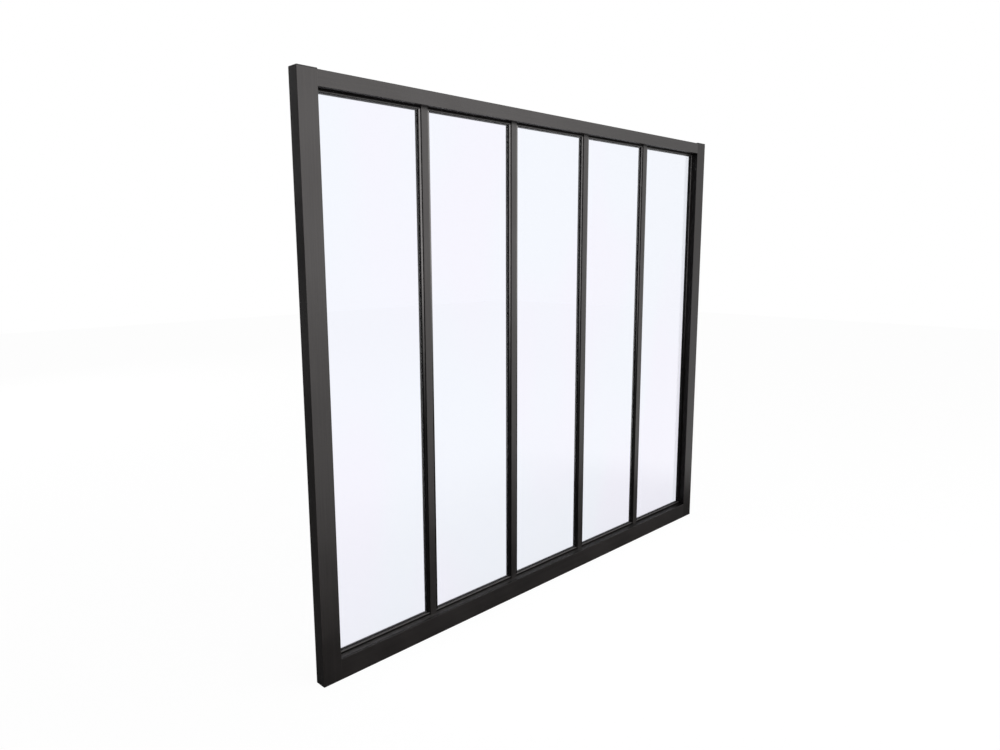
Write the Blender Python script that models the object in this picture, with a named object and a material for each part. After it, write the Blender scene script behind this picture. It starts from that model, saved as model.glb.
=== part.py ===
"""Interior glass partition with five tall panes in a slim black metal frame.

Units are metres and +Z is up.  +X runs along the partition, its left end as
seen from the front being at -X, and the front faces -Y.  The origin is the
middle of the bottom rail's underside.

The frame is made of hollow drawn profiles.  Two stiles stand at the ends, with
a plug in each open end, and the head rail and bottom rail butt between them.
Four mullions stand between the rails.  Every profile carries a thin rear lip
that the glass lies against, and a flat bead on each side of each bay holds the
glass from the front.
"""

import bmesh
import bpy
from mathutils import Vector

# Overall size
PARTITION_WIDTH = 1.530
PARTITION_HEIGHT = 1.300
FRAME_DEPTH = 0.030
BAY_COUNT = 5

# Front faces of the profiles
STILE_FACE = 0.046
HEAD_FACE = 0.032
BOTTOM_FACE = 0.049
MULLION_FACE = 0.019

# The noses of the mullions stand this far behind the front of the outer frame
MULLION_SETBACK = 0.016

# Walls, rear lips and long front edges of the drawn profiles
WALL_THICKNESS = 0.0015
LIP_WIDTH = 0.009
LIP_THICKNESS = 0.004
EDGE_RADIUS = 0.0006
EDGE_SEGMENTS = 3

# Plugs in the ends of the stiles
PLUG_THICKNESS = 0.002
PLUG_CHAMFER = 0.0005
TONGUE_LENGTH = 0.012

# Glass and the beads in front of it
GLASS_THICKNESS = 0.004
GLASS_EDGE_PLAY = 0.003
BEAD_WIDTH = 0.0062
BEAD_THICKNESS = 0.003
BEAD_CHAMFER = 0.0006

# Clearance between pieces that touch
FIT_GAP = 0.0003

# Depths along Y, from the front of the frame to its back
FRAME_FRONT = -FRAME_DEPTH / 2
FRAME_BACK = FRAME_DEPTH / 2
MULLION_FRONT = FRAME_FRONT + MULLION_SETBACK
LIP_FRONT = FRAME_BACK - LIP_THICKNESS
GLASS_BACK = LIP_FRONT - FIT_GAP
GLASS_FRONT = GLASS_BACK - GLASS_THICKNESS
BEAD_BACK = GLASS_FRONT - FIT_GAP
BEAD_FRONT = BEAD_BACK - BEAD_THICKNESS

# Places of the stiles along X
LEFT_END = -PARTITION_WIDTH / 2
RIGHT_END = PARTITION_WIDTH / 2
LEFT_STILE_SIDE = LEFT_END + STILE_FACE
RIGHT_STILE_SIDE = RIGHT_END - STILE_FACE

# Heights of the stiles' tubes and of the rails
STILE_FOOT = PLUG_THICKNESS
STILE_TOP = PARTITION_HEIGHT - PLUG_THICKNESS
BOTTOM_RAIL_TOP = BOTTOM_FACE
HEAD_RAIL_TOP = STILE_TOP
HEAD_RAIL_UNDERSIDE = HEAD_RAIL_TOP - HEAD_FACE

# Bays, measured between the sides of the profiles
MULLION_COUNT = BAY_COUNT - 1
CLEAR_WIDTH = RIGHT_STILE_SIDE - LEFT_STILE_SIDE
BAY_WIDTH = (CLEAR_WIDTH - MULLION_COUNT * MULLION_FACE) / BAY_COUNT
BAY_PITCH = BAY_WIDTH + MULLION_FACE

# Room left round a lip where another profile is cut back for it
COPE = LIP_WIDTH + FIT_GAP


def clear_scene():
    for item in list(bpy.data.objects):
        bpy.data.objects.remove(item, do_unlink=True)


def make_material(name, colour, roughness, metallic, alpha):
    material = bpy.data.materials.new(name)
    material.use_nodes = True
    shader = material.node_tree.nodes["Principled BSDF"]
    shader.inputs["Base Color"].default_value = (*colour, 1.0)
    shader.inputs["Roughness"].default_value = roughness
    shader.inputs["Metallic"].default_value = metallic
    shader.inputs["Alpha"].default_value = alpha
    return material


def make_piece(name, mesh, material):
    piece = bpy.data.objects.new(name, mesh)
    mesh.materials.append(material)
    bpy.context.scene.collection.objects.link(piece)
    return piece


def rectangle(low, high, front, back):
    return [(low, front), (high, front), (high, back), (low, back)]


def swept_solid(name, outline, axis, start, end, round_at=None):
    """Closed solid from a section swept along X or Z.

    The outline lists (across, depth) points: depth is Y, and across is Z for a
    sweep along X and X for a sweep along Z.  The long edges at the depth
    round_at get the small radius of a drawn profile.
    """
    def place(across, depth, along):
        if axis == "X":
            return Vector((along, depth, across))
        return Vector((across, depth, along))

    shape = bmesh.new()
    section = [shape.verts.new(place(across, depth, start)) for across, depth in outline]
    swept = bmesh.ops.extrude_face_region(shape, geom=[shape.faces.new(section)])
    moved = [item for item in swept["geom"] if isinstance(item, bmesh.types.BMVert)]
    sweep = place(0.0, 0.0, end - start)
    bmesh.ops.translate(shape, verts=moved, vec=sweep)
    bmesh.ops.recalc_face_normals(shape, faces=shape.faces)
    if round_at is not None:
        round_long_edges(shape, sweep.normalized(), round_at)
    mesh = bpy.data.meshes.new(name)
    shape.to_mesh(mesh)
    shape.free()
    return mesh


def round_long_edges(shape, direction, depth):
    """Round the edges that run along the sweep at this depth."""
    long_edges = []
    for edge in shape.edges:
        first, last = (vert.co for vert in edge.verts)
        runs_along = abs((last - first).normalized().dot(direction)) > 0.5
        at_depth = abs(first.y - depth) < FIT_GAP / 2
        if runs_along and at_depth:
            long_edges.append(edge)
    bmesh.ops.bevel(
        shape,
        geom=long_edges,
        offset=EDGE_RADIUS,
        segments=EDGE_SEGMENTS,
        profile=0.5,
        affect="EDGES",
    )


def stacked_solid(name, levels):
    """Closed solid through a stack of level rectangles.

    Each level is (height, left, right, front, back).
    """
    shape = bmesh.new()
    rings = []
    for height, left, right, front, back in levels:
        corners = rectangle(left, right, front, back)
        rings.append([shape.verts.new((x, y, height)) for x, y in corners])
    for lower, upper in zip(rings, rings[1:]):
        for index in range(4):
            after = (index + 1) % 4
            shape.faces.new((lower[index], lower[after], upper[after], upper[index]))
    shape.faces.new(rings[0])
    shape.faces.new(rings[-1])
    bmesh.ops.recalc_face_normals(shape, faces=shape.faces)
    mesh = bpy.data.meshes.new(name)
    shape.to_mesh(mesh)
    shape.free()
    return mesh


def cut_away(piece, label, cutter_mesh):
    cutter = bpy.data.objects.new(f"{piece.name}_{label}", cutter_mesh)
    bpy.context.scene.collection.objects.link(cutter)
    cutter.hide_render = True
    cutter.display_type = "WIRE"
    cut = piece.modifiers.new(label, "BOOLEAN")
    cut.operation = "DIFFERENCE"
    cut.solver = "EXACT"
    cut.object = cutter


def hollow_out(piece, axis, low, high, front, start, end):
    """Cut the core out of a profile, leaving its wall all round."""
    outline = rectangle(
        low + WALL_THICKNESS,
        high - WALL_THICKNESS,
        front + WALL_THICKNESS,
        FRAME_BACK - WALL_THICKNESS,
    )
    core = swept_solid("core", outline, axis, start - WALL_THICKNESS, end + WALL_THICKNESS)
    cut_away(piece, "core", core)


def cope_end(piece, label, left, right, bottom, top):
    """Cut a profile's rear back, over this width and height, round another's lip."""
    outline = rectangle(left, right, LIP_FRONT - FIT_GAP, FRAME_BACK + FIT_GAP)
    cut_away(piece, f"{label}_cope", swept_solid("cope", outline, "Z", bottom, top))


def side_profile_outline(outer, side):
    """Section of a stile or rail, whose one rear lip stands out from its side."""
    inwards = 1 if side > outer else -1
    lip_edge = side + inwards * LIP_WIDTH
    return [
        (outer, FRAME_FRONT),
        (side, FRAME_FRONT),
        (side, LIP_FRONT),
        (lip_edge, LIP_FRONT),
        (lip_edge, FRAME_BACK),
        (outer, FRAME_BACK),
    ]


def mullion_outline(left, right):
    """Section of a mullion: a nose towards the front and a rear lip each side."""
    return [
        (left, MULLION_FRONT),
        (right, MULLION_FRONT),
        (right, LIP_FRONT),
        (right + LIP_WIDTH, LIP_FRONT),
        (right + LIP_WIDTH, FRAME_BACK),
        (left - LIP_WIDTH, FRAME_BACK),
        (left - LIP_WIDTH, LIP_FRONT),
        (left, LIP_FRONT),
    ]


def bead_outline(side, inwards):
    """Section of a flat bead against a profile's side, chamfered at its sight edge."""
    seat = side + inwards * FIT_GAP
    sight_edge = side + inwards * BEAD_WIDTH
    return [
        (seat, BEAD_FRONT),
        (sight_edge - inwards * BEAD_CHAMFER, BEAD_FRONT),
        (sight_edge, BEAD_FRONT + BEAD_CHAMFER),
        (sight_edge, BEAD_BACK),
        (seat, BEAD_BACK),
    ]


def make_stile(name, outer, side, material):
    outline = side_profile_outline(outer, side)
    mesh = swept_solid(name, outline, "Z", STILE_FOOT, STILE_TOP, FRAME_FRONT)
    stile = make_piece(name, mesh, material)
    low, high = sorted((outer, side))
    hollow_out(stile, "Z", low, high, FRAME_FRONT, STILE_FOOT, STILE_TOP)


def make_plug(name, outer, side, end, inwards, material):
    """Plug over a stile's end: a chamfered plate with a tongue inside the tube."""
    low, high = sorted((outer, side))
    play = WALL_THICKNESS + FIT_GAP

    def level(depth_in, inset):
        return (
            end + inwards * depth_in,
            low + inset,
            high - inset,
            FRAME_FRONT + inset,
            FRAME_BACK - inset,
        )

    plate = PLUG_THICKNESS - FIT_GAP
    levels = [
        level(0.0, PLUG_CHAMFER),
        level(PLUG_CHAMFER, 0.0),
        level(plate, 0.0),
        level(plate, play),
        level(plate + TONGUE_LENGTH, play),
    ]
    make_piece(name, stacked_solid(name, levels), material)


def make_rail(name, outer, side, material):
    """Rail cut to fit between the stiles and coped round their rear lips."""
    left = LEFT_STILE_SIDE + FIT_GAP
    right = RIGHT_STILE_SIDE - FIT_GAP
    outline = side_profile_outline(outer, side)
    rail = make_piece(name, swept_solid(name, outline, "X", left, right, FRAME_FRONT), material)
    low, high = sorted((outer, side))
    hollow_out(rail, "X", low, high, FRAME_FRONT, left, right)
    bottom = low - COPE
    top = high + COPE
    cope_end(rail, "left", LEFT_STILE_SIDE, LEFT_STILE_SIDE + COPE, bottom, top)
    cope_end(rail, "right", RIGHT_STILE_SIDE - COPE, RIGHT_STILE_SIDE, bottom, top)


def make_mullion(number, material):
    """Mullion standing between the rails and coped round their rear lips."""
    name = f"mullion_{number}"
    right = LEFT_STILE_SIDE + number * BAY_PITCH
    left = right - MULLION_FACE
    foot = BOTTOM_RAIL_TOP + FIT_GAP
    top = HEAD_RAIL_UNDERSIDE - FIT_GAP
    mesh = swept_solid(name, mullion_outline(left, right), "Z", foot, top, MULLION_FRONT)
    mullion = make_piece(name, mesh, material)
    hollow_out(mullion, "Z", left, right, MULLION_FRONT, foot, top)
    sides = (left - COPE, right + COPE)
    cope_end(mullion, "foot", *sides, BOTTOM_RAIL_TOP, BOTTOM_RAIL_TOP + COPE)
    cope_end(mullion, "top", *sides, HEAD_RAIL_UNDERSIDE - COPE, HEAD_RAIL_UNDERSIDE)


def make_glass(number, bay_left, bay_right, material):
    name = f"glass_pane_{number}"
    left = bay_left + GLASS_EDGE_PLAY
    right = bay_right - GLASS_EDGE_PLAY
    bottom = BOTTOM_RAIL_TOP + GLASS_EDGE_PLAY
    top = HEAD_RAIL_UNDERSIDE - GLASS_EDGE_PLAY
    outline = rectangle(left, right, GLASS_FRONT, GLASS_BACK)
    make_piece(name, swept_solid(name, outline, "Z", bottom, top), material)


def make_level_bead(name, side, inwards, bay_left, bay_right, material):
    """Top or bottom bead, which runs across the whole bay."""
    outline = bead_outline(side, inwards)
    mesh = swept_solid(name, outline, "X", bay_left + FIT_GAP, bay_right - FIT_GAP)
    make_piece(name, mesh, material)


def make_upright_bead(name, side, inwards, material):
    """Side bead, which stands between the top and bottom beads."""
    foot = BOTTOM_RAIL_TOP + BEAD_WIDTH + FIT_GAP
    top = HEAD_RAIL_UNDERSIDE - BEAD_WIDTH - FIT_GAP
    mesh = swept_solid(name, bead_outline(side, inwards), "Z", foot, top)
    make_piece(name, mesh, material)


clear_scene()
coat = make_material("black_powder_coat", (0.022, 0.021, 0.021), 0.38, 0.0, 1.0)
bead_coat = make_material("black_bead_coat", (0.016, 0.016, 0.017), 0.32, 0.0, 1.0)
plastic = make_material("black_plug_plastic", (0.018, 0.018, 0.018), 0.50, 0.0, 1.0)
glass = make_material("clear_glass", (0.90, 0.92, 0.98), 0.02, 0.0, 0.25)

stile_places = {
    "left_stile": (LEFT_END, LEFT_STILE_SIDE),
    "right_stile": (RIGHT_END, RIGHT_STILE_SIDE),
}
for stile_name, stile_sides in stile_places.items():
    make_stile(stile_name, *stile_sides, coat)
    make_plug(f"{stile_name}_foot_plug", *stile_sides, 0.0, 1, plastic)
    make_plug(f"{stile_name}_top_plug", *stile_sides, PARTITION_HEIGHT, -1, plastic)

make_rail("bottom_rail", 0.0, BOTTOM_RAIL_TOP, coat)
make_rail("head_rail", HEAD_RAIL_TOP, HEAD_RAIL_UNDERSIDE, coat)
for mullion_number in range(1, MULLION_COUNT + 1):
    make_mullion(mullion_number, coat)

for bay_number in range(1, BAY_COUNT + 1):
    bay_name = f"bay_{bay_number}"
    bay_left = LEFT_STILE_SIDE + (bay_number - 1) * BAY_PITCH
    bay_right = bay_left + BAY_WIDTH
    make_glass(bay_number, bay_left, bay_right, glass)
    make_level_bead(f"{bay_name}_top_bead", HEAD_RAIL_UNDERSIDE, -1, bay_left, bay_right, bead_coat)
    make_level_bead(f"{bay_name}_bottom_bead", BOTTOM_RAIL_TOP, 1, bay_left, bay_right, bead_coat)
    make_upright_bead(f"{bay_name}_left_bead", bay_left, 1, bead_coat)
    make_upright_bead(f"{bay_name}_right_bead", bay_right, -1, bead_coat)
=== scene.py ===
import math

import bmesh
import bpy
from mathutils import Matrix, Vector


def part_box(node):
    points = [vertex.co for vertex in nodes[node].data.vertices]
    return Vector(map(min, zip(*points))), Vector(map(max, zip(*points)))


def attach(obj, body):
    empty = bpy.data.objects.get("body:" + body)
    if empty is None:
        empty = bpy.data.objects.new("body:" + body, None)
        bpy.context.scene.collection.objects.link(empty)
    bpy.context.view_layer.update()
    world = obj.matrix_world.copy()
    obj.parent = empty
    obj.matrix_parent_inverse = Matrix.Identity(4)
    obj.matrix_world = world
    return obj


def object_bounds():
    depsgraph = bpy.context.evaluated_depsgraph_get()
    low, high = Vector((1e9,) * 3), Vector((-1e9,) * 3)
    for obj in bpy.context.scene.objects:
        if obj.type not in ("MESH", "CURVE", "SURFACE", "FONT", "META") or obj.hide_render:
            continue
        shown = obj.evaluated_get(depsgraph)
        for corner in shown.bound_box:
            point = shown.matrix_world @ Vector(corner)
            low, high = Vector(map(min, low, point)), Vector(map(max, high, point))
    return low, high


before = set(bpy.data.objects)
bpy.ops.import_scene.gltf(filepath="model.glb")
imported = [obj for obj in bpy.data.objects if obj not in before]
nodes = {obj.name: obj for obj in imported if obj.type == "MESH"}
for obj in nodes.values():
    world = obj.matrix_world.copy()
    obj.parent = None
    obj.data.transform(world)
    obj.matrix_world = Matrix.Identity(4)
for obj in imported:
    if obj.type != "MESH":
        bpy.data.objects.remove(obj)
cad_low, cad_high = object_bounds()
scene = bpy.context.scene
scene.view_settings.view_transform = "Standard"


# Camera.  It stands in front of the partition's left end, a little under the
# height of the head rail, and looks across the face and slightly down, so the
# face runs away to the right as it does in the photograph.
camera_place = Vector((-1.5472, -1.3379, 0.9440))
camera_turn_right = math.radians(45.201)
camera_look_down = math.radians(9.455)
camera_tilt = math.radians(-0.142)
camera_data = bpy.data.cameras.new("photo_camera")
camera_data.sensor_width = 36.0
camera_data.lens = 26.58
camera = bpy.data.objects.new("photo_camera", camera_data)
scene.collection.objects.link(camera)
camera.matrix_world = (
    Matrix.Translation(camera_place)
    @ Matrix.Rotation(-camera_turn_right, 4, "Z")
    @ Matrix.Rotation(math.radians(90.0) - camera_look_down, 4, "X")
    @ Matrix.Rotation(camera_tilt, 4, "Z")
)
scene.camera = camera


# Room round the partition.  Seen directly or through the panes it is plain
# white, and so it is in what the front faces mirror.  Behind the panes the coat
# mirrors a grey side on the right and a dim one on the left.
room_white = (1.0, 1.0, 1.0, 1.0)
room_dim = (0.08, 0.08, 0.084, 1.0)
room_bright = (0.95, 0.94, 0.93, 1.0)
room_bright_side = Vector((0.14, -0.96, 0.20)).normalized()
room_grey_side = Vector((0.75, 0.60, 0.10)).normalized()
room_grey_share = 0.12
room_grey_start = 0.45
room_grey_full = 0.88


def add_node(tree, kind, label=None, **settings):
    """Add a node, with settings for its properties and its inputs by name."""
    node = tree.nodes.new(kind)
    if label:
        node.label = label
    for key, value in settings.items():
        if hasattr(node, key):
            setattr(node, key, value)
        else:
            node.inputs[key.replace("_", " ")].default_value = value
    return node


def sum_of(tree, *sources, operation="ADD"):
    """Join two or more sockets or numbers with the same Math operation."""
    result = sources[0]
    for source in sources[1:]:
        math_node = add_node(tree, "ShaderNodeMath", operation=operation)
        for index, item in enumerate((result, source)):
            if isinstance(item, (int, float)):
                math_node.inputs[index].default_value = item
            else:
                tree.links.new(item, math_node.inputs[index])
        result = math_node.outputs[0]
    return result


def seen_white(tree, mirrored_white):
    """1 for rays that meet plain white: seen ones, and mirrored ones by a share."""
    path = add_node(tree, "ShaderNodeLightPath")
    mirrored = sum_of(tree, path.outputs["Glossy Depth"], 1.0, operation="MINIMUM")
    direct = sum_of(tree, 1.0, mirrored, operation="SUBTRACT")
    through = sum_of(tree, path.outputs["Is Transmission Ray"], direct, operation="MULTIPLY")
    reflected = sum_of(
        tree,
        path.outputs["Is Glossy Ray"],
        sum_of(tree, path.outputs["Is Transmission Ray"], mirrored, operation="MULTIPLY"),
        operation="MAXIMUM",
    )
    reflected = sum_of(tree, reflected, mirrored_white, operation="MULTIPLY")
    return sum_of(tree, path.outputs["Is Camera Ray"], through, reflected, operation="MAXIMUM")


world = bpy.data.worlds.new("room")
scene.world = world
world.use_nodes = True
room = world.node_tree
room.nodes.clear()
room_direction = add_node(room, "ShaderNodeTexCoord")
room_side = add_node(room, "ShaderNodeVectorMath", operation="DOT_PRODUCT")
room_side.inputs[1].default_value = room_bright_side
room.links.new(room_direction.outputs["Generated"], room_side.inputs[0])
room_ramp = add_node(room, "ShaderNodeMapRange", interpolation_type="SMOOTHSTEP")
room_ramp.inputs["From Min"].default_value = 0.0
room_ramp.inputs["From Max"].default_value = 1.0
room.links.new(room_side.outputs["Value"], room_ramp.inputs["Value"])
room_right = add_node(room, "ShaderNodeVectorMath", operation="DOT_PRODUCT")
room_right.inputs[1].default_value = room_grey_side
room.links.new(room_direction.outputs["Generated"], room_right.inputs[0])
room_grey = add_node(room, "ShaderNodeMapRange", interpolation_type="SMOOTHSTEP")
room_grey.inputs["From Min"].default_value = room_grey_start
room_grey.inputs["From Max"].default_value = room_grey_full
room_grey.inputs["To Max"].default_value = room_grey_share
room.links.new(room_right.outputs["Value"], room_grey.inputs["Value"])
room_mirrored = sum_of(
    room, room_ramp.outputs["Result"], room_grey.outputs["Result"], operation="MAXIMUM"
)
room_seen = seen_white(room, room_mirrored)
room_tone = add_node(room, "ShaderNodeMix", data_type="RGBA")
room.links.new(room_ramp.outputs["Result"], room_tone.inputs[0])
room_tone.inputs[6].default_value = room_dim
room_tone.inputs[7].default_value = room_bright
room_light = add_node(room, "ShaderNodeBackground")
room.links.new(room_tone.outputs[2], room_light.inputs["Color"])
room_backdrop = add_node(room, "ShaderNodeBackground", Color=room_white, Strength=1.0)
room_mix = add_node(room, "ShaderNodeMixShader")
room.links.new(room_seen, room_mix.inputs["Fac"])
room.links.new(room_light.outputs[0], room_mix.inputs[1])
room.links.new(room_backdrop.outputs[0], room_mix.inputs[2])
room_output = add_node(room, "ShaderNodeOutputWorld")
room.links.new(room_mix.outputs[0], room_output.inputs["Surface"])


# Floor.  A plain pale sheet under the feet that reaches past the picture's
# edges and takes the soft shadow.  A lift makes it as white as the room, but
# the foot of the frame mirrors it dim close by, and grey on the right.
floor_reach = 9.0
floor_drop = 0.0004
floor_seen_colour = (0.10, 0.10, 0.10, 1.0)
floor_lighting_colour = (0.22, 0.22, 0.22, 1.0)
floor_lift = 0.95
floor_dim_reach = 0.22
floor_white_reach = 1.25
floor_end_falloff = 2.0
floor_grey_share = 0.60
floor_grey_start = 1.0
floor_grey_full = 3.0
floor_side_blend = 0.3
floor_segments = 8
floor_mesh = bpy.data.meshes.new("floor")
floor_shape = bmesh.new()
bmesh.ops.create_grid(
    floor_shape, x_segments=floor_segments, y_segments=floor_segments, size=floor_reach
)
bmesh.ops.translate(floor_shape, verts=floor_shape.verts, vec=(0.0, 0.0, -floor_drop))
floor_shape.to_mesh(floor_mesh)
floor_shape.free()
floor = bpy.data.objects.new("floor", floor_mesh)
scene.collection.objects.link(floor)


def new_material(name):
    """An empty node material, with its tree."""
    material = bpy.data.materials.new(name)
    material.use_nodes = True
    material.node_tree.nodes.clear()
    return material, material.node_tree


floor_material, floor_tree = new_material("pale_floor")
floor_place = add_node(floor_tree, "ShaderNodeTexCoord")
floor_axes = add_node(floor_tree, "ShaderNodeSeparateXYZ")
floor_tree.links.new(floor_place.outputs["Object"], floor_axes.inputs[0])
floor_along = floor_axes.outputs["X"]
floor_past_end = sum_of(
    floor_tree,
    sum_of(
        floor_tree,
        sum_of(floor_tree, floor_along, -1.0, operation="MULTIPLY"),
        floor_along,
        operation="MAXIMUM",
    ),
    cad_high.x,
    operation="SUBTRACT",
)
floor_beyond = sum_of(floor_tree, floor_past_end, 0.0, operation="MAXIMUM")
floor_offset = add_node(floor_tree, "ShaderNodeCombineXYZ")
floor_tree.links.new(
    sum_of(floor_tree, floor_beyond, floor_end_falloff, operation="MULTIPLY"),
    floor_offset.inputs["X"],
)
floor_tree.links.new(floor_axes.outputs["Y"], floor_offset.inputs["Y"])
floor_distance = add_node(floor_tree, "ShaderNodeVectorMath", operation="LENGTH")
floor_tree.links.new(floor_offset.outputs[0], floor_distance.inputs[0])
floor_far = add_node(floor_tree, "ShaderNodeMapRange", interpolation_type="SMOOTHSTEP")
floor_far.inputs["From Min"].default_value = floor_dim_reach
floor_far.inputs["From Max"].default_value = floor_white_reach
floor_tree.links.new(floor_distance.outputs["Value"], floor_far.inputs["Value"])
floor_in_front = add_node(floor_tree, "ShaderNodeMapRange", interpolation_type="SMOOTHSTEP")
floor_in_front.inputs["From Min"].default_value = floor_side_blend
floor_in_front.inputs["From Max"].default_value = -floor_side_blend
floor_tree.links.new(floor_axes.outputs["Y"], floor_in_front.inputs["Value"])
floor_path = add_node(floor_tree, "ShaderNodeLightPath")
floor_mirrored = sum_of(
    floor_tree,
    sum_of(
        floor_tree,
        floor_far.outputs["Result"],
        floor_path.outputs["Is Transmission Ray"],
        operation="MAXIMUM",
    ),
    floor_in_front.outputs["Result"],
    operation="MULTIPLY",
)
floor_right = add_node(floor_tree, "ShaderNodeMapRange", interpolation_type="SMOOTHSTEP")
floor_right.inputs["From Min"].default_value = floor_grey_start
floor_right.inputs["From Max"].default_value = floor_grey_full
floor_right.inputs["To Max"].default_value = floor_grey_share
floor_tree.links.new(
    sum_of(floor_tree, floor_axes.outputs["X"], floor_axes.outputs["Y"]),
    floor_right.inputs["Value"],
)
floor_mirrored = sum_of(
    floor_tree, floor_mirrored, floor_right.outputs["Result"], operation="MAXIMUM"
)
floor_seen = seen_white(floor_tree, floor_mirrored)
floor_colour = add_node(floor_tree, "ShaderNodeMix", data_type="RGBA")
floor_colour.inputs[6].default_value = floor_lighting_colour
floor_colour.inputs[7].default_value = floor_seen_colour
floor_tree.links.new(floor_seen, floor_colour.inputs[0])
floor_diffuse = add_node(floor_tree, "ShaderNodeBsdfDiffuse")
floor_tree.links.new(floor_colour.outputs[2], floor_diffuse.inputs["Color"])
floor_glow = add_node(floor_tree, "ShaderNodeEmission")
floor_tree.links.new(
    sum_of(floor_tree, floor_seen, floor_lift, operation="MULTIPLY"),
    floor_glow.inputs["Strength"],
)
floor_sum = add_node(floor_tree, "ShaderNodeAddShader")
floor_tree.links.new(floor_diffuse.outputs[0], floor_sum.inputs[0])
floor_tree.links.new(floor_glow.outputs[0], floor_sum.inputs[1])
floor_output = add_node(floor_tree, "ShaderNodeOutputMaterial")
floor_tree.links.new(floor_sum.outputs[0], floor_output.inputs["Surface"])
floor_mesh.materials.append(floor_material)


# Lamps.  A large soft box stands in front, a little to the right and above the
# head rail, and gives the front faces their sheen.  It leaves out the panes,
# which stay clear.  Another one stands far behind, for the back.
def soft_box(name, place, aim, width, height, power):
    """An area lamp at a place, turned to face an aim."""
    lamp_data = bpy.data.lights.new(name, "AREA")
    lamp_data.shape = "RECTANGLE"
    lamp_data.size = width
    lamp_data.size_y = height
    lamp_data.energy = power
    lamp = bpy.data.objects.new(name, lamp_data)
    scene.collection.objects.link(lamp)
    lamp.location = place
    lamp.rotation_euler = (Vector(aim) - Vector(place)).to_track_quat("-Z", "Y").to_euler()
    lamp.visible_camera = False
    lamp.visible_transmission = False
    return lamp


front_soft_box = soft_box(
    "front_soft_box",
    place=(1.0, -2.7, 1.6),
    aim=(-0.2, 0.0, 0.8),
    width=3.4,
    height=2.2,
    power=22.0,
)
soft_box(
    "rear_soft_box",
    place=(-0.8, 4.6, 2.2),
    aim=(0.0, 0.0, 0.7),
    width=2.4,
    height=2.0,
    power=28.0,
)
panes = bpy.data.collections.new("panes_without_soft_box")
for node_name, node in nodes.items():
    if node_name.startswith("glass_pane_"):
        panes.objects.link(node)
for pane_link in panes.collection_objects:
    pane_link.light_linking.link_state = "EXCLUDE"
front_soft_box.light_linking.receiver_collection = panes


# Stiles.  Two hollow aluminium profiles at the ends of the partition, cut square
# and finished in satin black powder coat, the right one a little duller.  The
# coat is faintly pebbled and streaked, and pale along the front edges, partly
# worn and partly a painted highlight.  The right one's thin sides are painted
# darker, a painted shade.
coat_dark = (0.0135, 0.0119, 0.0115, 1.0)
coat_light = (0.0225, 0.0199, 0.0191, 1.0)
coat_tones = (coat_dark, coat_light)
# A darker colour for thin sides and recessed parts: a painted shade.
painted_recess_shade = (0.0060, 0.0056, 0.0056, 1.0)
# A pale colour for the front edges: partly wear, partly a painted highlight.
coat_rubbed_highlight = (0.0560, 0.0530, 0.0520, 1.0)
coat_sheen = (1.0, 0.960, 0.955, 1.0)
# A paler colour for up-facing faces: partly dust, partly painted light from above.
coat_dust_and_top_light = (0.0760, 0.0720, 0.0705, 1.0)
dust_and_light_start_depth = 0.004
dust_and_light_depth = 0.008
dust_and_light_least_cover = 0.65
coat_mottle_scale = 7.0
coat_draw_line_scale = 420.0
coat_draw_line_stretch = 0.015
coat_draw_line_contrast = 0.15
coat_pebble_scale = 1100.0
coat_grain_scale = 4200.0
coat_grain_height = 0.35
coat_grain_roughness = 0.03
coat_wear_scale = 60.0
coat_wear_start = 0.35
coat_wear_full = 0.70
coat_least_wear = 0.25
coat_bump_strength = 0.35
coat_roughness_low = 0.31
coat_roughness_high = 0.40
coat_specular = 0.68
right_specular = 0.38
noise_low = 0.3
noise_high = 0.7
upward_start = 0.60
upward_full = 0.95
sideways_full = 0.1
sideways_end = 0.5
frame_rub_highlight_width = 0.0010
pebble_depth = 0.00006
smooth_pebble_depth = 0.00001


def link_or_set(tree, source, socket):
    """Link a socket, or set a plain number on it."""
    if isinstance(source, (int, float)):
        socket.default_value = source
    else:
        tree.links.new(source, socket)


def noise(tree, coordinates, scale, detail, stretch=(1.0, 1.0, 1.0)):
    """Noise on object coordinates, stretched along the axes, as a 0 to 1 value."""
    mapping = add_node(tree, "ShaderNodeMapping")
    mapping.inputs["Scale"].default_value = stretch
    tree.links.new(coordinates, mapping.inputs["Vector"])
    texture = add_node(tree, "ShaderNodeTexNoise")
    texture.inputs["Scale"].default_value = scale
    texture.inputs["Detail"].default_value = detail
    tree.links.new(mapping.outputs["Vector"], texture.inputs["Vector"])
    return texture.outputs["Fac"]


def graded(tree, value, low, high, to_low, to_high):
    """Map a value smoothly from one range to another."""
    ramp = add_node(tree, "ShaderNodeMapRange", interpolation_type="SMOOTHSTEP")
    link_or_set(tree, value, ramp.inputs["Value"])
    ramp.inputs["From Min"].default_value = low
    ramp.inputs["From Max"].default_value = high
    ramp.inputs["To Min"].default_value = to_low
    ramp.inputs["To Max"].default_value = to_high
    return ramp.outputs["Result"]


def mixed_colour(tree, factor, first, second):
    """Mix two colours, each a socket or a plain colour."""
    mix = add_node(tree, "ShaderNodeMix", data_type="RGBA")
    tree.links.new(factor, mix.inputs[0])
    for index, colour in ((6, first), (7, second)):
        if isinstance(colour, tuple):
            mix.inputs[index].default_value = colour
        else:
            tree.links.new(colour, mix.inputs[index])
    return mix.outputs[2]


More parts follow.
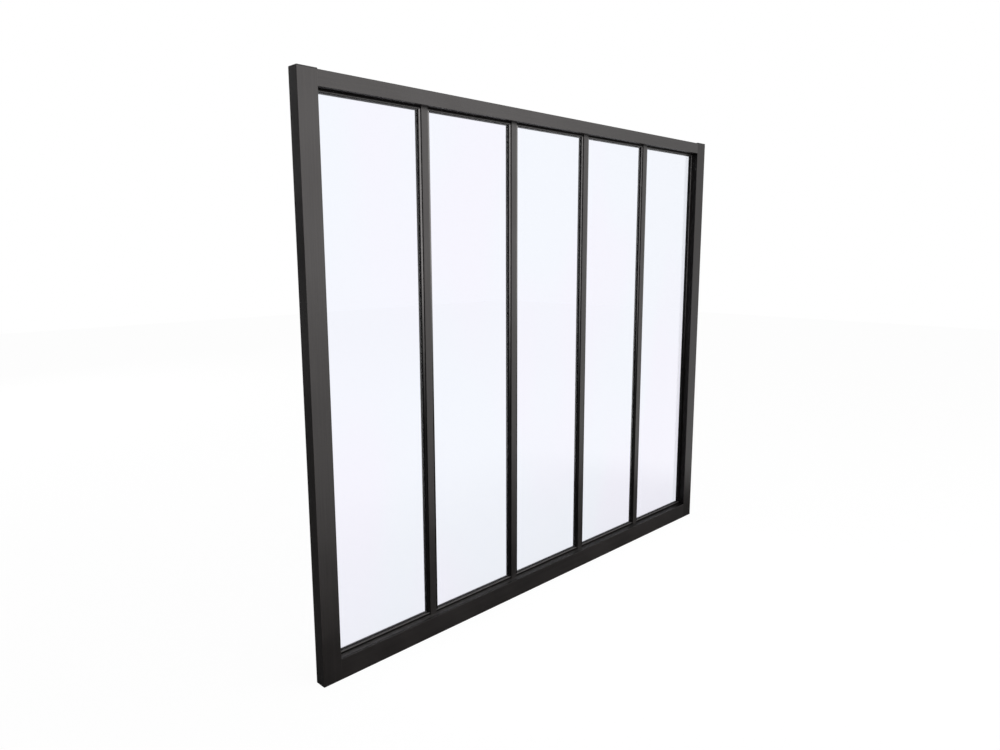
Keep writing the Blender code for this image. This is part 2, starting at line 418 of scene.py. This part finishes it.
def powder_coat(
    name, along, across, edges, front, rub_highlight_width, smoothing, specular, tones, side_shade_tone=None
):
    """Satin black powder coat on one drawn profile.

    along and across are the axes X or Z.  edges are where its long front edges
    lie across it, front is their depth, and rub_highlight_width is how far they are
    painted pale, partly as wear and partly as a painted highlight that grows with
    the gloss.  smoothing is taken off the roughness.  specular is a number, or a
    function of the tree and the axes that gives a socket.  tones are the coat's
    darkest and lightest colours, and side_shade_tone its colour on the thin sides,
    a painted shade.  Up-facing faces behind the front are painted paler, partly as
    dust and partly as painted light from above, less of it towards the right.
    """
    material, tree = new_material(name)
    coordinates = add_node(tree, "ShaderNodeTexCoord").outputs["Object"]
    axes = add_node(tree, "ShaderNodeSeparateXYZ")
    tree.links.new(coordinates, axes.inputs[0])
    stretch = tuple(coat_draw_line_stretch if axis == along else 1.0 for axis in "XYZ")
    mottle = noise(tree, coordinates, coat_mottle_scale, 3.0)
    draw_lines = noise(tree, coordinates, coat_draw_line_scale, 2.0, stretch)
    pebble = noise(tree, coordinates, coat_pebble_scale, 2.0)
    grain = noise(tree, coordinates, coat_grain_scale, 1.0)

    nearest = None
    for edge in edges:
        apart = sum_of(tree, axes.outputs[across], edge, operation="SUBTRACT")
        away = sum_of(tree, apart, -1.0, operation="MULTIPLY")
        away = sum_of(tree, apart, away, operation="MAXIMUM")
        nearest = away if nearest is None else sum_of(tree, nearest, away, operation="MINIMUM")
    depth = sum_of(tree, axes.outputs["Y"], front, operation="SUBTRACT")
    reach = sum_of(tree, nearest, depth, operation="MAXIMUM")
    gloss = specular(tree, axes) if callable(specular) else specular
    wear = noise(tree, coordinates, coat_wear_scale, 4.0)
    worn = graded(tree, wear, coat_wear_start, coat_wear_full, coat_least_wear, 1.0)
    # Pale front edges, scaled by the wear and the gloss: partly wear, partly a painted highlight.
    rub_and_highlight = graded(tree, reach, 0.0, rub_highlight_width, 1.0, 0.0)
    rub_and_highlight = sum_of(tree, rub_and_highlight, worn, gloss, operation="MULTIPLY")

    contrast = coat_draw_line_contrast
    lines = graded(tree, draw_lines, noise_low, noise_high, -contrast, contrast)
    tone = sum_of(tree, mottle, lines)
    facing = add_node(tree, "ShaderNodeSeparateXYZ")
    tree.links.new(add_node(tree, "ShaderNodeNewGeometry").outputs["Normal"], facing.inputs[0])
    colour = mixed_colour(tree, graded(tree, tone, noise_low, noise_high, 0.0, 1.0), *tones)
    # Faces that face neither front nor back get the side colour, a painted shade.
    if side_shade_tone:
        facing_y = facing.outputs["Y"]
        flat = sum_of(tree, facing_y, facing_y, operation="MULTIPLY")
        sideways = graded(tree, flat, sideways_full, sideways_end, 1.0, 0.0)
        colour = mixed_colour(tree, sideways, colour, side_shade_tone)
    colour = mixed_colour(tree, rub_and_highlight, colour, coat_rubbed_highlight)
    # Up-facing faces behind the front are painted paler, partly dust and partly painted light from
    # above, fading towards the right as painted shade.
    dust_and_top_light = sum_of(
        tree,
        graded(tree, facing.outputs["Z"], upward_start, upward_full, 0.0, 1.0),
        graded(tree, depth, dust_and_light_start_depth, dust_and_light_depth, 0.0, 1.0),
        graded(tree, axes.outputs["X"], cad_low.x, cad_high.x, 1.0, 0.0),
        graded(tree, wear, noise_low, noise_high, dust_and_light_least_cover, 1.0),
        operation="MULTIPLY",
    )
    colour = mixed_colour(tree, dust_and_top_light, colour, coat_dust_and_top_light)
    roughness = graded(
        tree,
        mottle,
        noise_low,
        noise_high,
        coat_roughness_low - smoothing,
        coat_roughness_high - smoothing,
    )
    spread = coat_grain_roughness
    speckle = graded(tree, grain, noise_low, noise_high, -spread, spread)
    roughness = sum_of(tree, roughness, speckle)

    fine = sum_of(tree, grain, coat_grain_height, operation="MULTIPLY")
    height = sum_of(tree, pebble, fine)
    bump = add_node(tree, "ShaderNodeBump")
    bump.inputs["Strength"].default_value = coat_bump_strength
    bump.inputs["Distance"].default_value = smooth_pebble_depth if smoothing else pebble_depth
    tree.links.new(height, bump.inputs["Height"])
    shader = add_node(tree, "ShaderNodeBsdfPrincipled")
    shader.inputs["Specular Tint"].default_value = coat_sheen
    link_or_set(tree, gloss, shader.inputs["Specular IOR Level"])
    tree.links.new(colour, shader.inputs["Base Color"])
    tree.links.new(roughness, shader.inputs["Roughness"])
    tree.links.new(bump.outputs["Normal"], shader.inputs["Normal"])
    output = add_node(tree, "ShaderNodeOutputMaterial")
    tree.links.new(shader.outputs[0], output.inputs["Surface"])
    return material


def dress(node_name, material):
    """Give a CAD node its finish, in the slots that it already has."""
    for material_slot in nodes[node_name].material_slots:
        material_slot.material = material


stile_low, stile_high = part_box("left_stile")
frame_front = stile_low.y
bottom_low, bottom_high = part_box("bottom_rail")
head_low, head_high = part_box("head_rail")
plug_low, plug_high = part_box("left_stile_foot_plug")
stile_face = plug_high.x - plug_low.x
left_stile_edges = (cad_low.x, cad_low.x + stile_face)
right_stile_edges = (cad_high.x - stile_face, cad_high.x)
left_coat = powder_coat(
    "left_stile_coat",
    along="Z",
    across="X",
    edges=left_stile_edges,
    front=frame_front,
    rub_highlight_width=frame_rub_highlight_width,
    smoothing=0.0,
    specular=coat_specular,
    tones=coat_tones,
)
dress("left_stile", left_coat)
right_coat = powder_coat(
    "right_stile_coat",
    along="Z",
    across="X",
    edges=right_stile_edges,
    front=frame_front,
    rub_highlight_width=frame_rub_highlight_width,
    smoothing=0.0,
    specular=right_specular,
    tones=coat_tones,
    side_shade_tone=painted_recess_shade,
)
dress("right_stile", right_coat)


# Plugs in the stiles' ends.  Moulded black plastic plates with a fine spark
# texture, pushed into the open tubes, so they stand a hair above the coat.
plug_colour = (0.020, 0.020, 0.020, 1.0)
plug_colour_pale = (0.028, 0.028, 0.028, 1.0)
plug_spark_scale = 2400.0
plug_spark_depth = 0.00005
plug_cloud_scale = 40.0
plug_bump_strength = 0.5
plug_roughness_low = 0.48
plug_roughness_high = 0.62
plug_material, plug_tree = new_material("moulded_plastic")
plug_coordinates = add_node(plug_tree, "ShaderNodeTexCoord").outputs["Object"]
plug_spark = noise(plug_tree, plug_coordinates, plug_spark_scale, 3.0)
plug_cloud = noise(plug_tree, plug_coordinates, plug_cloud_scale, 2.0)
plug_tint = mixed_colour(plug_tree, plug_cloud, plug_colour, plug_colour_pale)
plug_bump = add_node(plug_tree, "ShaderNodeBump")
plug_bump.inputs["Strength"].default_value = plug_bump_strength
plug_bump.inputs["Distance"].default_value = plug_spark_depth
plug_tree.links.new(plug_spark, plug_bump.inputs["Height"])
plug_shader = add_node(plug_tree, "ShaderNodeBsdfPrincipled")
plug_tree.links.new(plug_tint, plug_shader.inputs["Base Color"])
plug_roughness = graded(
    plug_tree, plug_spark, noise_low, noise_high, plug_roughness_low, plug_roughness_high
)
plug_tree.links.new(plug_roughness, plug_shader.inputs["Roughness"])
plug_tree.links.new(plug_bump.outputs["Normal"], plug_shader.inputs["Normal"])
plug_output = add_node(plug_tree, "ShaderNodeOutputMaterial")
plug_tree.links.new(plug_shader.outputs[0], plug_output.inputs["Surface"])
for plug_name in (
    "left_stile_foot_plug",
    "left_stile_top_plug",
    "right_stile_foot_plug",
    "right_stile_top_plug",
):
    dress(plug_name, plug_material)


# Rails.  The same hollow profile laid level between the stiles, deeper at the
# foot than at the head, and held by hidden screws.  The bottom rail's thin faces
# are painted darker, a painted shade, and its ledge in front of the glass paler,
# partly as fine dust and partly as painted light from above, less of it towards
# the right.
rail_gap = 0.0003
lip_width = stile_high.x - (cad_low.x + stile_face)
bottom_rail_top = bottom_high.z - lip_width
head_rail_underside = head_low.z + lip_width
bottom_rail_edges = (bottom_low.z,)
head_rail_edges = (head_rail_underside, head_high.z)
bottom_coat = powder_coat(
    "bottom_rail_coat",
    along="X",
    across="Z",
    edges=bottom_rail_edges,
    front=frame_front,
    rub_highlight_width=frame_rub_highlight_width,
    smoothing=0.0,
    specular=coat_specular,
    tones=coat_tones,
    side_shade_tone=painted_recess_shade,
)
dress("bottom_rail", bottom_coat)
head_coat = powder_coat(
    "head_rail_coat",
    along="X",
    across="Z",
    edges=head_rail_edges,
    front=frame_front,
    rub_highlight_width=frame_rub_highlight_width,
    smoothing=0.0,
    specular=coat_specular,
    tones=coat_tones,
)
dress("head_rail", head_coat)


# Fillers at the four corners.  The square joints between the rails and the
# stiles are filled flush front and back before the coat goes on, so the coat
# runs across them as far as the stile's rounded edge.
filler_depth = 0.0010
filler_clearance = 0.00002
filler_edge_radius = 0.0006
filler_steps = 3
frame_back = stile_high.y
filler_shape = bmesh.new()
for joint, outwards, coat_index in (
    (cad_low.x + stile_face, 1.0, 0),
    (cad_high.x - stile_face, -1.0, 1),
):
    for low, high in (
        (bottom_low.z + filler_clearance, bottom_rail_top - filler_edge_radius),
        (head_rail_underside + filler_edge_radius, head_high.z - filler_edge_radius),
    ):
        for surface, inwards in ((frame_front, 1.0), (frame_back, -1.0)):
            reach = filler_edge_radius + filler_clearance
            section = []
            for step in range(filler_steps + 1):
                angle = math.radians(90.0) * step / filler_steps
                along = reach * math.sin(angle) - filler_edge_radius
                down = filler_edge_radius - reach * math.cos(angle)
                section.append((along, max(down, filler_clearance)))
            section.append((filler_clearance, filler_depth))
            section.append((rail_gap - filler_clearance, filler_depth))
            section.append((rail_gap - filler_clearance, filler_clearance))
            rings = []
            for level in (low, high):
                ring = []
                for along, down in section:
                    corner = (joint + outwards * along, surface + inwards * down, level)
                    ring.append(filler_shape.verts.new(corner))
                rings.append(ring)
            faces = [filler_shape.faces.new(rings[0]), filler_shape.faces.new(rings[1])]
            for index in range(len(section)):
                following = (index + 1) % len(section)
                corners = (
                    rings[0][index],
                    rings[0][following],
                    rings[1][following],
                    rings[1][index],
                )
                faces.append(filler_shape.faces.new(corners))
            for face in faces:
                face.material_index = coat_index
bmesh.ops.recalc_face_normals(filler_shape, faces=filler_shape.faces)
filler_mesh = bpy.data.meshes.new("corner_fillers")
filler_shape.to_mesh(filler_mesh)
filler_shape.free()
filler_mesh.materials.append(left_coat)
filler_mesh.materials.append(right_coat)
corner_fillers = bpy.data.objects.new("corner_fillers", filler_mesh)
scene.collection.objects.link(corner_fillers)
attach(corner_fillers, "root")


# Mullions.  Four slim uprights between the rails, with a square nose that
# stands just in front of the beads, in the same coat as the frame.  Their thin
# sides are painted darker, a painted shade in the recess.
mullion_count = sum(1 for name in nodes if name.startswith("mullion_"))
for number in range(1, mullion_count + 1):
    mullion_low, mullion_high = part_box(f"mullion_{number}")
    nose_edges = (mullion_low.x + lip_width, mullion_high.x - lip_width)
    nose_coat = powder_coat(
        f"mullion_{number}_coat",
        along="Z",
        across="X",
        edges=nose_edges,
        front=mullion_low.y,
        rub_highlight_width=frame_rub_highlight_width,
        smoothing=0.0,
        specular=coat_specular,
        tones=coat_tones,
        side_shade_tone=painted_recess_shade,
    )
    dress(f"mullion_{number}", nose_coat)


# Beads.  Flat strips of rolled metal with a smoother coat, which clip in front
# of the glass round each bay, coloured darker than the frame as a painted shade.
# The upright ones grow glossier towards the top and the level ones are glossy in
# a thin line along the glass; there their fronts are also painted pale, a
# painted highlight.
bay_count = sum(1 for name in nodes if name.startswith("glass_pane_"))
bead_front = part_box("bay_1_left_bead")[0].y
bead_rub_highlight_width = 0.0035
# Bead colours, darker than the frame's coat: a painted shade.
bead_shade_tones = (painted_recess_shade, (0.0100, 0.0092, 0.0090, 1.0))
bead_smoothing = 0.14
# The bead gloss also scales the pale painted highlight on the bead fronts.
bead_dull_height = 0.50
bead_glossy_height = 0.95
bead_dull_specular = 0.05
bead_glossy_specular = 1.5
bead_line_start = 0.0010
bead_line_end = 0.0028
bead_front_facing = -0.8
bead_side_facing = -0.4
top_line_specular = 0.9
bottom_line_specular = 1.5


def gloss_and_highlight_above(tree, axes):
    """Gloss of an upright bead, which rises with the height above the floor and also scales the
    pale painted highlight on its front.
    """
    return graded(
        tree,
        axes.outputs["Z"],
        bead_dull_height,
        bead_glossy_height,
        bead_dull_specular,
        bead_glossy_specular,
    )


for bay in range(1, bay_count + 1):
    for side in ("left", "right"):
        bead_low, bead_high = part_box(f"bay_{bay}_{side}_bead")
        bead_coat = powder_coat(
            f"bay_{bay}_{side}_bead_coat",
            along="Z",
            across="X",
            edges=(bead_low.x, bead_high.x),
            front=bead_front,
            rub_highlight_width=bead_rub_highlight_width,
            smoothing=bead_smoothing,
            specular=gloss_and_highlight_above,
            tones=bead_shade_tones,
        )
        dress(f"bay_{bay}_{side}_bead", bead_coat)


def gloss_and_highlight_by_glass(sight_level, line_specular):
    """Gloss of a level bead: satin on its thin sides and along the glass only, where it also
    scales the pale painted highlight.
    """

    def gloss(tree, axes):
        """The socket that powder_coat asks for."""
        facing = add_node(tree, "ShaderNodeSeparateXYZ")
        tree.links.new(add_node(tree, "ShaderNodeNewGeometry").outputs["Normal"], facing.inputs[0])
        apart = sum_of(tree, axes.outputs["Z"], sight_level, operation="SUBTRACT")
        below = sum_of(tree, apart, -1.0, operation="MULTIPLY")
        away = sum_of(tree, apart, below, operation="MAXIMUM")
        front = graded(
            tree, away, bead_line_start, bead_line_end, line_specular, bead_dull_specular
        )
        sides = graded(
            tree, facing.outputs["Y"], bead_front_facing, bead_side_facing, 0.0, coat_specular
        )
        return sum_of(tree, front, sides, operation="MAXIMUM")

    return gloss


for side, line_specular in (("top", top_line_specular), ("bottom", bottom_line_specular)):
    bead_low, bead_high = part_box(f"bay_1_{side}_bead")
    sight_level = {"top": bead_low.z, "bottom": bead_high.z}[side]
    level_bead_coat = powder_coat(
        f"{side}_bead_coat",
        along="X",
        across="Z",
        edges=(sight_level,),
        front=bead_front,
        rub_highlight_width=bead_rub_highlight_width,
        smoothing=0.0,
        specular=gloss_and_highlight_by_glass(sight_level, line_specular),
        tones=bead_shade_tones,
    )
    for bay in range(1, bay_count + 1):
        dress(f"bay_{bay}_{side}_bead", level_bead_coat)


# Glass.  Five panes of clear 4 mm float glass with a faint cold tint, which
# turns very slightly from blue to violet across a pane.  Light from the lamps
# passes through, so the panes cast almost no shadow.
glass_blue = (0.915, 0.940, 1.000, 1.0)
glass_violet = (0.930, 0.922, 1.000, 1.0)
glass_shadow = (0.93, 0.94, 0.96, 1.0)
glass_index = 1.5
glass_drift_scale = 3.0
glass_drift_stretch = 0.45
glass_drift_start = 0.4
glass_drift_end = 0.6
glass_material, glass_tree = new_material("float_glass")
glass_coordinates = add_node(glass_tree, "ShaderNodeTexCoord").outputs["Object"]
glass_drift = noise(
    glass_tree, glass_coordinates, glass_drift_scale, 1.0, (1.0, 1.0, glass_drift_stretch)
)
glass_tint = mixed_colour(
    glass_tree,
    graded(glass_tree, glass_drift, glass_drift_start, glass_drift_end, 0.0, 1.0),
    glass_blue,
    glass_violet,
)
glass_shader = add_node(glass_tree, "ShaderNodeBsdfPrincipled")
glass_shader.inputs["Roughness"].default_value = 0.0
glass_shader.inputs["IOR"].default_value = glass_index
glass_shader.inputs["Transmission Weight"].default_value = 1.0
glass_tree.links.new(glass_tint, glass_shader.inputs["Base Color"])
glass_open = add_node(glass_tree, "ShaderNodeBsdfTransparent")
glass_open.inputs["Color"].default_value = glass_shadow
glass_path = add_node(glass_tree, "ShaderNodeLightPath")
glass_mix = add_node(glass_tree, "ShaderNodeMixShader")
glass_tree.links.new(glass_path.outputs["Is Shadow Ray"], glass_mix.inputs["Fac"])
glass_tree.links.new(glass_shader.outputs[0], glass_mix.inputs[1])
glass_tree.links.new(glass_open.outputs[0], glass_mix.inputs[2])
glass_output = add_node(glass_tree, "ShaderNodeOutputMaterial")
glass_tree.links.new(glass_mix.outputs[0], glass_output.inputs["Surface"])
for bay in range(1, bay_count + 1):
    dress(f"glass_pane_{bay}", glass_material)


# Glazing tape and gaskets.  Rubber bedded round each pane: a flat black tape
# between the glass and the rear lips, and small round-edged gaskets in front,
# along the beads' sight edges.  The level gaskets are of a satin rubber painted
# paler than the rest, a painted highlight along the glass.
tape_inset = 0.0004
tape_clearance = 0.00003
gasket_width = 0.0010
gasket_depth = 0.0008
gasket_rounding = 0.0003
gasket_clearance = 0.00004
rubber_matt_tones = (0.006, 0.012)
# Paler rubber tones for the level gaskets: a painted highlight along the glass.
rubber_highlight_tones = (0.055, 0.080)
rubber_bloom_scale = 55.0
rubber_grain_scale = 3000.0
rubber_grain_depth = 0.00003
rubber_roughness_spread = 0.07
rubber_bump_strength = 0.3
strip_corner_steps = 2


def dark_rubber(name, tones, specular, roughness):
    """Dark rubber with a pale bloom and a fine grain."""
    material, tree = new_material(name)
    coordinates = add_node(tree, "ShaderNodeTexCoord").outputs["Object"]
    bloom = noise(tree, coordinates, rubber_bloom_scale, 3.0)
    grain = noise(tree, coordinates, rubber_grain_scale, 2.0)
    bump = add_node(tree, "ShaderNodeBump")
    bump.inputs["Strength"].default_value = rubber_bump_strength
    bump.inputs["Distance"].default_value = rubber_grain_depth
    tree.links.new(grain, bump.inputs["Height"])
    shader = add_node(tree, "ShaderNodeBsdfPrincipled")
    shader.inputs["Specular IOR Level"].default_value = specular
    dark, pale = ((tone, tone, tone, 1.0) for tone in tones)
    tint = mixed_colour(tree, bloom, dark, pale)
    tree.links.new(tint, shader.inputs["Base Color"])
    smoothest = roughness - rubber_roughness_spread
    roughest = roughness + rubber_roughness_spread
    tree.links.new(
        graded(tree, grain, noise_low, noise_high, smoothest, roughest),
        shader.inputs["Roughness"],
    )
    tree.links.new(bump.outputs["Normal"], shader.inputs["Normal"])
    output = add_node(tree, "ShaderNodeOutputMaterial")
    tree.links.new(shader.outputs[0], output.inputs["Surface"])
    return material


matt_rubber = dark_rubber(
    "matt_black_rubber", rubber_matt_tones, specular=0.30, roughness=0.62
)
painted_highlight_rubber = dark_rubber("painted_highlight_rubber", rubber_highlight_tones, specular=1.0, roughness=0.40)


def strip_tree(name):
    """Geometry nodes that sweep a round-cornered strip along every edge of a path."""
    tree = bpy.data.node_groups.new(name, "GeometryNodeTree")
    tree.interface.new_socket("Path", in_out="INPUT", socket_type="NodeSocketGeometry")
    for size in ("Width", "Depth", "Rounding"):
        tree.interface.new_socket(size, in_out="INPUT", socket_type="NodeSocketFloat")
    tree.interface.new_socket("Rubber", in_out="INPUT", socket_type="NodeSocketMaterial")
    tree.interface.new_socket("Strips", in_out="OUTPUT", socket_type="NodeSocketGeometry")
    group_input = tree.nodes.new("NodeGroupInput")
    group_output = tree.nodes.new("NodeGroupOutput")
    runs = tree.nodes.new("GeometryNodeMeshToCurve")
    upright = tree.nodes.new("GeometryNodeSetCurveNormal")
    upright.mode = "FREE"
    upright.inputs["Normal"].default_value = (0.0, 1.0, 0.0)
    section = tree.nodes.new("GeometryNodeCurvePrimitiveQuadrilateral")
    rounded = tree.nodes.new("GeometryNodeFilletCurve")
    rounded.mode = "POLY"
    rounded.inputs["Count"].default_value = strip_corner_steps
    swept = tree.nodes.new("GeometryNodeCurveToMesh")
    swept.inputs["Fill Caps"].default_value = True
    realized = tree.nodes.new("GeometryNodeRealizeInstances")
    coloured = tree.nodes.new("GeometryNodeSetMaterial")
    link = tree.links.new
    link(group_input.outputs["Path"], runs.inputs["Mesh"])
    link(runs.outputs[0], upright.inputs["Curve"])
    link(group_input.outputs["Width"], section.inputs["Width"])
    link(group_input.outputs["Depth"], section.inputs["Height"])
    link(section.outputs[0], rounded.inputs["Curve"])
    link(group_input.outputs["Rounding"], rounded.inputs["Radius"])
    link(upright.outputs[0], swept.inputs["Curve"])
    link(rounded.outputs[0], swept.inputs["Profile Curve"])
    link(swept.outputs[0], realized.inputs[0])
    link(realized.outputs[0], coloured.inputs["Geometry"])
    link(group_input.outputs["Rubber"], coloured.inputs["Material"])
    link(coloured.outputs[0], group_output.inputs["Strips"])
    return tree


def make_strips(name, runs, width, depth, rounding, rubber):
    """Sweep strips along straight runs, each a pair of end points, as one mesh."""
    path_mesh = bpy.data.meshes.new(f"{name}_path")
    points = [point for run in runs for point in run]
    edges = [(2 * index, 2 * index + 1) for index in range(len(runs))]
    path_mesh.from_pydata(points, edges, [])
    path = bpy.data.objects.new(f"{name}_path", path_mesh)
    scene.collection.objects.link(path)
    tree = strip_tree(f"{name}_strips")
    sweep = path.modifiers.new("sweep", "NODES")
    sweep.node_group = tree
    values = {"Width": width, "Depth": depth, "Rounding": rounding, "Rubber": rubber}
    for item in tree.interface.items_tree:
        if item.in_out == "INPUT" and item.name in values:
            sweep[item.identifier] = values[item.name]
    bpy.context.view_layer.update()
    evaluated = path.evaluated_get(bpy.context.evaluated_depsgraph_get())
    mesh = bpy.data.meshes.new_from_object(evaluated)
    mesh.name = name
    bpy.data.objects.remove(path)
    strips = bpy.data.objects.new(name, mesh)
    scene.collection.objects.link(strips)
    return strips


def runs_round_bay(bay, inset, level_inset, half_width, depth):
    """Four straight runs just inside a bay: two level, and two upright between them.

    inset is how far the upright runs reach from the frame to the pane's middle,
    and level_inset the same for the level runs.
    """
    top_bead_low, top_bead_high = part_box(f"bay_{bay}_top_bead")
    left = top_bead_low.x - rail_gap
    right = top_bead_high.x + rail_gap
    bottom = bottom_rail_top
    top = head_rail_underside
    low = bottom + level_inset - half_width
    high = top - level_inset + half_width
    start = left + inset - 2 * half_width
    end = right - inset + 2 * half_width
    left_middle = left + inset - half_width
    right_middle = right - inset + half_width
    foot = bottom + level_inset
    head = top - level_inset
    return [
        ((start, depth, high), (end, depth, high)),
        ((start, depth, low), (end, depth, low)),
        ((left_middle, depth, foot), (left_middle, depth, head)),
        ((right_middle, depth, foot), (right_middle, depth, head)),
    ]


glass_low, glass_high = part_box("glass_pane_1")
lip_front = glass_high.y + rail_gap
tape_width = 0.0055
tape_depth = lip_front - glass_high.y - 2 * tape_clearance
tape_rounding = 0.00002
tape_middle = (lip_front + glass_high.y) / 2
tape_reach = lip_width - tape_inset
bead_low, bead_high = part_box("bay_1_left_bead")
sight_edge = bead_high.x - (cad_low.x + stile_face)
gasket_middle = glass_low.y - gasket_clearance - gasket_depth / 2
gasket_reach = sight_edge + gasket_clearance + gasket_width
tape_runs = []
upright_runs = []
level_runs = []
for bay in range(1, bay_count + 1):
    tape_runs += runs_round_bay(bay, tape_reach, sight_edge, tape_width / 2, tape_middle)
    gasket_runs = runs_round_bay(
        bay, gasket_reach, gasket_reach, gasket_width / 2, gasket_middle
    )
    level_runs += gasket_runs[:2]
    upright_runs += gasket_runs[2:]
rubber_pieces = (
    make_strips("glazing_tape", tape_runs, tape_width, tape_depth, tape_rounding, matt_rubber),
    make_strips(
        "upright_gaskets", upright_runs, gasket_width, gasket_depth, gasket_rounding, matt_rubber
    ),
    make_strips(
        "level_gaskets", level_runs, gasket_width, gasket_depth, gasket_rounding, painted_highlight_rubber
    ),
)
for rubber_piece in rubber_pieces:
    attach(rubber_piece, "root")
